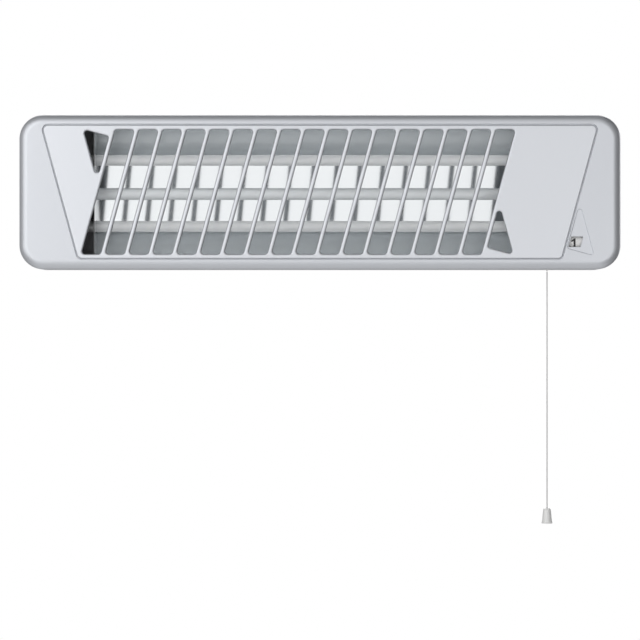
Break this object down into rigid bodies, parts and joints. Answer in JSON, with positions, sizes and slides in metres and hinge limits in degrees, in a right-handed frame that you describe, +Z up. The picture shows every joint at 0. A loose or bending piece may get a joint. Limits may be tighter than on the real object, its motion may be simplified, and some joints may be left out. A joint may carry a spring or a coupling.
{
  "type": "wall mounted quartz infrared heater",
  "caption": "Long wall heater with rounded silver housing, leaning grille bars over quartz tubes, stage window, tilting wall bracket and a pull cord with a conical grip.",
  "frame": {"origin": "middle of the wall bracket's back face, on the wall", "axes": "+X along the heater to the pull cord's side, +Y into the wall, +Z up; the front looks along -Y"},
  "size_m": [0.6, 0.112, 0.409],
  "materials": {
    "silver_cover": "satin silver lacquer",
    "silver_tray": "satin silver paint",
    "zinc_plate": "bright zinc plated",
    "steel_screws": "nickel plated",
    "grey_rubber": "matte",
    "knob_plastic": "fine texture",
    "reflector_sheet": "polished",
    "spring_steel": "plain",
    "quartz": "milky, fine drawn lines",
    "heating_wire": "oxidised",
    "white_ceramic": "unglazed",
    "block_ceramic": "glazed",
    "brass": "plain",
    "white_plastic": "smooth",
    "drum_plastic": "smooth, with black figures",
    "clear_plastic": "clear",
    "brown_sleeve": "silicone sleeve",
    "white_sleeve": "silicone sleeve",
    "blue_sleeve": "silicone sleeve",
    "earth_sleeve": "silicone sleeve, green with yellow",
    "cord_fibre": "braided",
    "grip_plastic": "smooth"
  },
  "bodies": {
    "bracket": {"wall_bracket": "zinc_plate", "pivot_bolts": "steel_screws", "friction_washers": "grey_rubber"},
    "heater": {"rear_tray": "silver_tray", "hinge_lug_left": "zinc_plate", "hinge_lug_right": "zinc_plate", "lug_rivets": "steel_screws", "front_cover": "silver_cover", "cover_seal": "grey_rubber", "cover_screws": "steel_screws", "grille_panel": "silver_cover", "panel_screws": "steel_screws", "reflector": "reflector_sheet", "reflector_end_left": "reflector_sheet", "reflector_end_right": "reflector_sheet", "heat_shield": "zinc_plate", "shield_posts": "steel_screws", "tube_support_left": "zinc_plate", "tube_support_right": "zinc_plate", "quartz_tube_upper": "quartz", "quartz_tube_lower": "quartz", "heating_coil_upper": "heating_wire", "heating_coil_lower": "heating_wire", "ceramic_caps_left": "white_ceramic", "ceramic_caps_right": "white_ceramic", "cap_clips": "spring_steel", "terminal_studs": "steel_screws", "terminal_nuts": "steel_screws", "neutral_link": "spring_steel", "terminal_block": "block_ceramic", "terminal_screws": "steel_screws", "cable_grommet": "grey_rubber", "earth_stud": "brass", "wire_live": "brown_sleeve", "wire_stage_one": "white_sleeve", "wire_stage_two": "white_sleeve", "wire_neutral": "blue_sleeve", "wire_earth": "earth_sleeve", "switch_bracket": "zinc_plate", "switch_frame": "white_plastic", "switch_contacts": "brass", "indicator_window": "clear_plastic", "return_spring": "spring_steel", "cord_bush": "white_plastic"},
    "knob_left": {"tilt_knob_left": "knob_plastic"},
    "knob_right": {"tilt_knob_right": "knob_plastic"},
    "rotor": {"switch_shaft": "steel_screws", "ratchet_wheel": "white_plastic", "indicator_drum": "drum_plastic"},
    "lever": {"pull_lever": "white_plastic", "drive_pawl": "spring_steel"},
    "pull_line": {"inner_cord": "cord_fibre", "cord_stop": "spring_steel", "spring_cup": "spring_steel"},
    "hanging_cord": {"pull_cord": "cord_fibre", "cord_grip": "grip_plastic", "cord_knot": "cord_fibre"}
  },
  "joints": [
    {"name": "tilt", "type": "hinge", "parent": "bracket", "child": "heater", "pos_m": [0, -0.017, 0], "axis": [1, 0, 0], "range_deg": [0, 40]},
    {"name": "knob_left_turn", "type": "hinge", "parent": "bracket", "child": "knob_left", "pos_m": [-0.236, -0.017, 0], "axis": [-1, 0, 0], "range_deg": [0, 360]},
    {"name": "knob_right_turn", "type": "hinge", "parent": "bracket", "child": "knob_right", "pos_m": [0.236, -0.017, 0], "axis": [1, 0, 0], "range_deg": [0, 360]},
    {"name": "switch_turn", "type": "hinge", "parent": "heater", "child": "rotor", "pos_m": [0.24, -0.095, -0.0047], "axis": [-1, 0, 0], "continuous": true},
    {"name": "cord_pull", "type": "slide", "parent": "heater", "child": "pull_line", "axis": [0, 0, -1], "range_m": [0, 0.01395], "stiffness_N_per_m": 200, "springref_m": -0.01, "deforming": ["return_spring"]},
    {"name": "lever_swing", "type": "hinge", "parent": "heater", "child": "lever", "pos_m": [0.22819, -0.095, -0.0047], "axis": [-1, 0, 0], "range_deg": [0, 60]},
    {"name": "cord_swing", "type": "hinge", "parent": "pull_line", "child": "hanging_cord", "pos_m": [0.22819, -0.0829, -0.0333], "axis": [1, 0, 0], "range_deg": [-40, 0]}
  ],
  "couplings": [
    {"joint": "lever_swing", "follows": "cord_pull", "rad_per_m": 75.06},
    {"joint": "cord_swing", "follows": "tilt", "ratio": -1}
  ]
}
